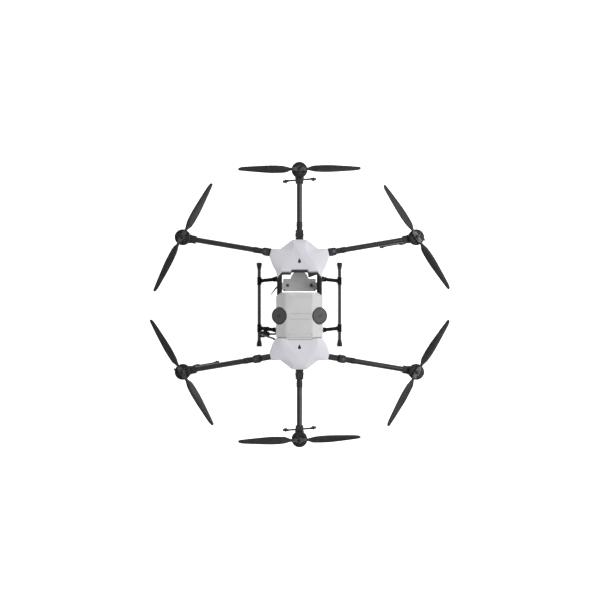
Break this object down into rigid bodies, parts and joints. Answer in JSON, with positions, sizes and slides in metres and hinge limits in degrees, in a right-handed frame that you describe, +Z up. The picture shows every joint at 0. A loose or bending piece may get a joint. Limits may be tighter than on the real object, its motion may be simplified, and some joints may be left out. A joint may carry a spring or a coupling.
{
  "type": "agricultural spray drone",
  "caption": "Agricultural spray drone with folding arms and folding propellers, a lift-out liquid tank between white hub covers, an open battery bay, spray nozzles and skid landing gear.",
  "frame": {"origin": "on the ground, under the middle of the whole machine with its arms out", "axes": "+Y forwards, +X to the right seen from above with the front up, +Z up"},
  "size_m": [1.8253, 1.744, 0.6303],
  "materials": {
    "white_plastic": "moulded, satin gloss",
    "tank_plastic": "blow-moulded, slightly translucent",
    "lid_plastic": "moulded, fine grain",
    "carbon": "woven carbon fibre under clear resin",
    "black_alloy": "black anodised",
    "motor_alloy": "black anodised, turned",
    "mount_plastic": "glass-filled nylon",
    "black_plastic": "moulded, fine grain",
    "case_plastic": "moulded case",
    "pump_plastic": "moulded, with a painted motor can",
    "nozzle_plastic": "moulded, with yellow-green caps",
    "strainer_plastic": "moulded mesh",
    "blade_composite": "carbon-filled nylon, fine texture",
    "hose_rubber": "smooth hose",
    "foot_rubber": "moulded rubber",
    "tray_sheet": "bead-blasted sheet"
  },
  "bodies": {
    "frame": {"front_cover": "white_plastic", "rear_cover": "white_plastic", "hub_frames": "carbon", "arm_sockets": "black_alloy", "side_rails": "carbon", "landing_gear_tubes": "carbon", "landing_gear_fittings": "black_plastic", "skid_feet": "foot_rubber", "battery_tray": "tray_sheet", "avionics_boxes": "case_plastic", "spray_plumbing": "hose_rubber", "pump": "pump_plastic", "antennas": "black_plastic"},
    "tank": {"tank": "tank_plastic", "tank_strainers": "strainer_plastic", "tank_outlet": "black_plastic"},
    "tank_lid_left": {"tank_lid_left": "lid_plastic"},
    "tank_lid_right": {"tank_lid_right": "lid_plastic"},
    "arm_front": {"arm_fittings_front": "mount_plastic", "arm_tube_front": "carbon"},
    "lock_ring_front": {"lock_ring_front": "black_alloy"},
    "nozzle_bar_front": {"nozzle_bar_front": "nozzle_plastic"},
    "rotor_front": {"rotor_front": "motor_alloy"},
    "blade_front_a": {"blade_front_a": "blade_composite"},
    "blade_front_b": {"blade_front_b": "blade_composite"},
    "arm_rear": {"arm_fittings_rear": "mount_plastic", "arm_tube_rear": "carbon"},
    "lock_ring_rear": {"lock_ring_rear": "black_alloy"},
    "nozzle_bar_rear": {"nozzle_bar_rear": "nozzle_plastic"},
    "rotor_rear": {"rotor_rear": "motor_alloy"},
    "blade_rear_a": {"blade_rear_a": "blade_composite"},
    "blade_rear_b": {"blade_rear_b": "blade_composite"},
    "arm_front_left": {"arm_fittings_front_left": "mount_plastic", "arm_tube_front_left": "carbon"},
    "lock_ring_front_left": {"lock_ring_front_left": "black_alloy"},
    "nozzle_bar_front_left": {"nozzle_bar_front_left": "nozzle_plastic"},
    "rotor_front_left": {"rotor_front_left": "motor_alloy"},
    "blade_front_left_a": {"blade_front_left_a": "blade_composite"},
    "blade_front_left_b": {"blade_front_left_b": "blade_composite"},
    "arm_front_right": {"arm_fittings_front_right": "mount_plastic", "arm_tube_front_right": "carbon"},
    "lock_ring_front_right": {"lock_ring_front_right": "black_alloy"},
    "nozzle_bar_front_right": {"nozzle_bar_front_right": "nozzle_plastic"},
    "rotor_front_right": {"rotor_front_right": "motor_alloy"},
    "blade_front_right_a": {"blade_front_right_a": "blade_composite"},
    "blade_front_right_b": {"blade_front_right_b": "blade_composite"},
    "arm_rear_left": {"arm_fittings_rear_left": "mount_plastic", "arm_tube_rear_left": "carbon"},
    "lock_ring_rear_left": {"lock_ring_rear_left": "black_alloy"},
    "nozzle_bar_rear_left": {"nozzle_bar_rear_left": "nozzle_plastic"},
    "rotor_rear_left": {"rotor_rear_left": "motor_alloy"},
    "blade_rear_left_a": {"blade_rear_left_a": "blade_composite"},
    "blade_rear_left_b": {"blade_rear_left_b": "blade_composite"},
    "arm_rear_right": {"arm_fittings_rear_right": "mount_plastic", "arm_tube_rear_right": "carbon"},
    "lock_ring_rear_right": {"lock_ring_rear_right": "black_alloy"},
    "nozzle_bar_rear_right": {"nozzle_bar_rear_right": "nozzle_plastic"},
    "rotor_rear_right": {"rotor_rear_right": "motor_alloy"},
    "blade_rear_right_a": {"blade_rear_right_a": "blade_composite"},
    "blade_rear_right_b": {"blade_rear_right_b": "blade_composite"}
  },
  "joints": [
    {"name": "tank_lift", "type": "slide", "parent": "frame", "child": "tank", "axis": [0, 0, 1], "range_m": [0, 0.3]},
    {"name": "lid_left_off", "type": "slide", "parent": "tank", "child": "tank_lid_left", "axis": [-0.4695, 0, 0.8829], "range_m": [0, 0.12]},
    {"name": "lid_right_off", "type": "slide", "parent": "tank", "child": "tank_lid_right", "axis": [0.4695, 0, 0.8829], "range_m": [0, 0.12]},
    {"name": "fold_front", "type": "hinge", "parent": "frame", "child": "arm_front", "pos_m": [0, 0.43, 0.523], "axis": [-1, 0, 0], "range_deg": [0, 90]},
    {"name": "lock_front", "type": "hinge", "parent": "arm_front", "child": "lock_ring_front", "pos_m": [0, 0.43, 0.545], "axis": [0, 1, 0], "range_deg": [0, 180]},
    {"name": "nozzle_swivel_front", "type": "hinge", "parent": "arm_front", "child": "nozzle_bar_front", "pos_m": [0, 0.7855, 0.427], "axis": [0, 0, 1], "range_deg": [0, 90]},
    {"name": "rotor_spin_front", "type": "hinge", "parent": "arm_front", "child": "rotor_front", "pos_m": [0, 0.8235, 0.6], "axis": [0, 0, 1], "continuous": true},
    {"name": "blade_fold_front_a", "type": "hinge", "parent": "rotor_front", "child": "blade_front_a", "pos_m": [0.028, 0.82394, 0.618], "axis": [0, 0, -1], "range_deg": [-85, 85]},
    {"name": "blade_fold_front_b", "type": "hinge", "parent": "rotor_front", "child": "blade_front_b", "pos_m": [-0.028, 0.82306, 0.618], "axis": [0, 0, 1], "range_deg": [-85, 85]},
    {"name": "fold_rear", "type": "hinge", "parent": "frame", "child": "arm_rear", "pos_m": [0, -0.43, 0.523], "axis": [1, 0, 0], "range_deg": [0, 90]},
    {"name": "lock_rear", "type": "hinge", "parent": "arm_rear", "child": "lock_ring_rear", "pos_m": [0, -0.43, 0.545], "axis": [0, -1, 0], "range_deg": [0, 180]},
    {"name": "nozzle_swivel_rear", "type": "hinge", "parent": "arm_rear", "child": "nozzle_bar_rear", "pos_m": [0, -0.7855, 0.427], "axis": [0, 0, 1], "range_deg": [0, 90]},
    {"name": "rotor_spin_rear", "type": "hinge", "parent": "arm_rear", "child": "rotor_rear", "pos_m": [0, -0.8235, 0.6], "axis": [0, 0, 1], "continuous": true},
    {"name": "blade_fold_rear_a", "type": "hinge", "parent": "rotor_rear", "child": "blade_rear_a", "pos_m": [0.02797, -0.82213, 0.618], "axis": [0, 0, 1], "range_deg": [-85, 85]},
    {"name": "blade_fold_rear_b", "type": "hinge", "parent": "rotor_rear", "child": "blade_rear_b", "pos_m": [-0.02797, -0.82487, 0.618], "axis": [0, 0, -1], "range_deg": [-85, 85]},
    {"name": "fold_front_left", "type": "hinge", "parent": "frame", "child": "arm_front_left", "pos_m": [-0.212, 0.32646, 0.545], "axis": [0, 0, 1], "range_deg": [0, 99.6]},
    {"name": "lock_front_left", "type": "hinge", "parent": "arm_front_left", "child": "lock_ring_front_left", "pos_m": [-0.212, 0.32646, 0.545], "axis": [-0.986, 0.1668, 0], "range_deg": [0, 180]},
    {"name": "nozzle_swivel_front_left", "type": "hinge", "parent": "arm_front_left", "child": "nozzle_bar_front_left", "pos_m": [-0.64478, 0.41284, 0.427], "axis": [0, 0, 1], "range_deg": [-90, 0]},
    {"name": "rotor_spin_front_left", "type": "hinge", "parent": "arm_front_left", "child": "rotor_front_left", "pos_m": [-0.714, 0.41136, 0.6], "axis": [0, 0, 1], "continuous": true},
    {"name": "blade_fold_front_left_a", "type": "hinge", "parent": "rotor_front_left", "child": "blade_front_left_a", "pos_m": [-0.70021, 0.43573, 0.618], "axis": [0, 0, -1], "range_deg": [-85, 85]},
    {"name": "blade_fold_front_left_b", "type": "hinge", "parent": "rotor_front_left", "child": "blade_front_left_b", "pos_m": [-0.72779, 0.38699, 0.618], "axis": [0, 0, 1], "range_deg": [-85, 85]},
    {"name": "fold_front_right", "type": "hinge", "parent": "frame", "child": "arm_front_right", "pos_m": [0.212, 0.32646, 0.545], "axis": [0, 0, 1], "range_deg": [-99.6, 0]},
    {"name": "lock_front_right", "type": "hinge", "parent": "arm_front_right", "child": "lock_ring_front_right", "pos_m": [0.212, 0.32646, 0.545], "axis": [0.986, 0.1668, 0], "range_deg": [0, 180]},
    {"name": "nozzle_swivel_front_right", "type": "hinge", "parent": "arm_front_right", "child": "nozzle_bar_front_right", "pos_m": [0.64912, 0.38721, 0.427], "axis": [0, 0, 1], "range_deg": [0, 90]},
    {"name": "rotor_spin_front_right", "type": "hinge", "parent": "arm_front_right", "child": "rotor_front_right", "pos_m": [0.714, 0.41136, 0.6], "axis": [0, 0, 1], "continuous": true},
    {"name": "blade_fold_front_right_a", "type": "hinge", "parent": "rotor_front_right", "child": "blade_front_right_a", "pos_m": [0.69904, 0.43503, 0.618], "axis": [0, 0, 1], "range_deg": [-85, 85]},
    {"name": "blade_fold_front_right_b", "type": "hinge", "parent": "rotor_front_right", "child": "blade_front_right_b", "pos_m": [0.72896, 0.3877, 0.618], "axis": [0, 0, -1], "range_deg": [-85, 85]},
    {"name": "fold_rear_left", "type": "hinge", "parent": "frame", "child": "arm_rear_left", "pos_m": [-0.27, -0.33627, 0.545], "axis": [0, 0, 1], "range_deg": [-99.6, 0]},
    {"name": "lock_rear_left", "type": "hinge", "parent": "arm_rear_left", "child": "lock_ring_rear_left", "pos_m": [-0.27, -0.33627, 0.545], "axis": [-0.986, -0.1668, 0], "range_deg": [0, 180]},
    {"name": "nozzle_swivel_rear_left", "type": "hinge", "parent": "arm_rear_left", "child": "nozzle_bar_rear_left", "pos_m": [-0.64912, -0.38721, 0.427], "axis": [0, 0, 1], "range_deg": [0, 90]},
    {"name": "rotor_spin_rear_left", "type": "hinge", "parent": "arm_rear_left", "child": "rotor_rear_left", "pos_m": [-0.714, -0.41136, 0.6], "axis": [0, 0, 1], "continuous": true},
    {"name": "blade_fold_rear_left_a", "type": "hinge", "parent": "rotor_rear_left", "child": "blade_rear_left_a", "pos_m": [-0.72846, -0.38739, 0.618], "axis": [0, 0, -1], "range_deg": [-85, 85]},
    {"name": "blade_fold_rear_left_b", "type": "hinge", "parent": "rotor_rear_left", "child": "blade_rear_left_b", "pos_m": [-0.69954, -0.43534, 0.618], "axis": [0, 0, 1], "range_deg": [-85, 85]},
    {"name": "fold_rear_right", "type": "hinge", "parent": "frame", "child": "arm_rear_right", "pos_m": [0.27, -0.33627, 0.545], "axis": [0, 0, 1], "range_deg": [0, 99.6]},
    {"name": "lock_rear_right", "type": "hinge", "parent": "arm_rear_right", "child": "lock_ring_rear_right", "pos_m": [0.27, -0.33627, 0.545], "axis": [0.986, -0.1668, 0], "range_deg": [0, 180]},
    {"name": "nozzle_swivel_rear_right", "type": "hinge", "parent": "arm_rear_right", "child": "nozzle_bar_rear_right", "pos_m": [0.64478, -0.41284, 0.427], "axis": [0, 0, 1], "range_deg": [-90, 0]},
    {"name": "rotor_spin_rear_right", "type": "hinge", "parent": "arm_rear_right", "child": "rotor_rear_right", "pos_m": [0.714, -0.41136, 0.6], "axis": [0, 0, 1], "continuous": true},
    {"name": "blade_fold_rear_right_a", "type": "hinge", "parent": "rotor_rear_right", "child": "blade_rear_right_a", "pos_m": [0.72855, -0.38744, 0.618], "axis": [0, 0, 1], "range_deg": [-85, 85]},
    {"name": "blade_fold_rear_right_b", "type": "hinge", "parent": "rotor_rear_right", "child": "blade_rear_right_b", "pos_m": [0.69945, -0.43529, 0.618], "axis": [0, 0, -1], "range_deg": [-85, 85]}
  ]
}
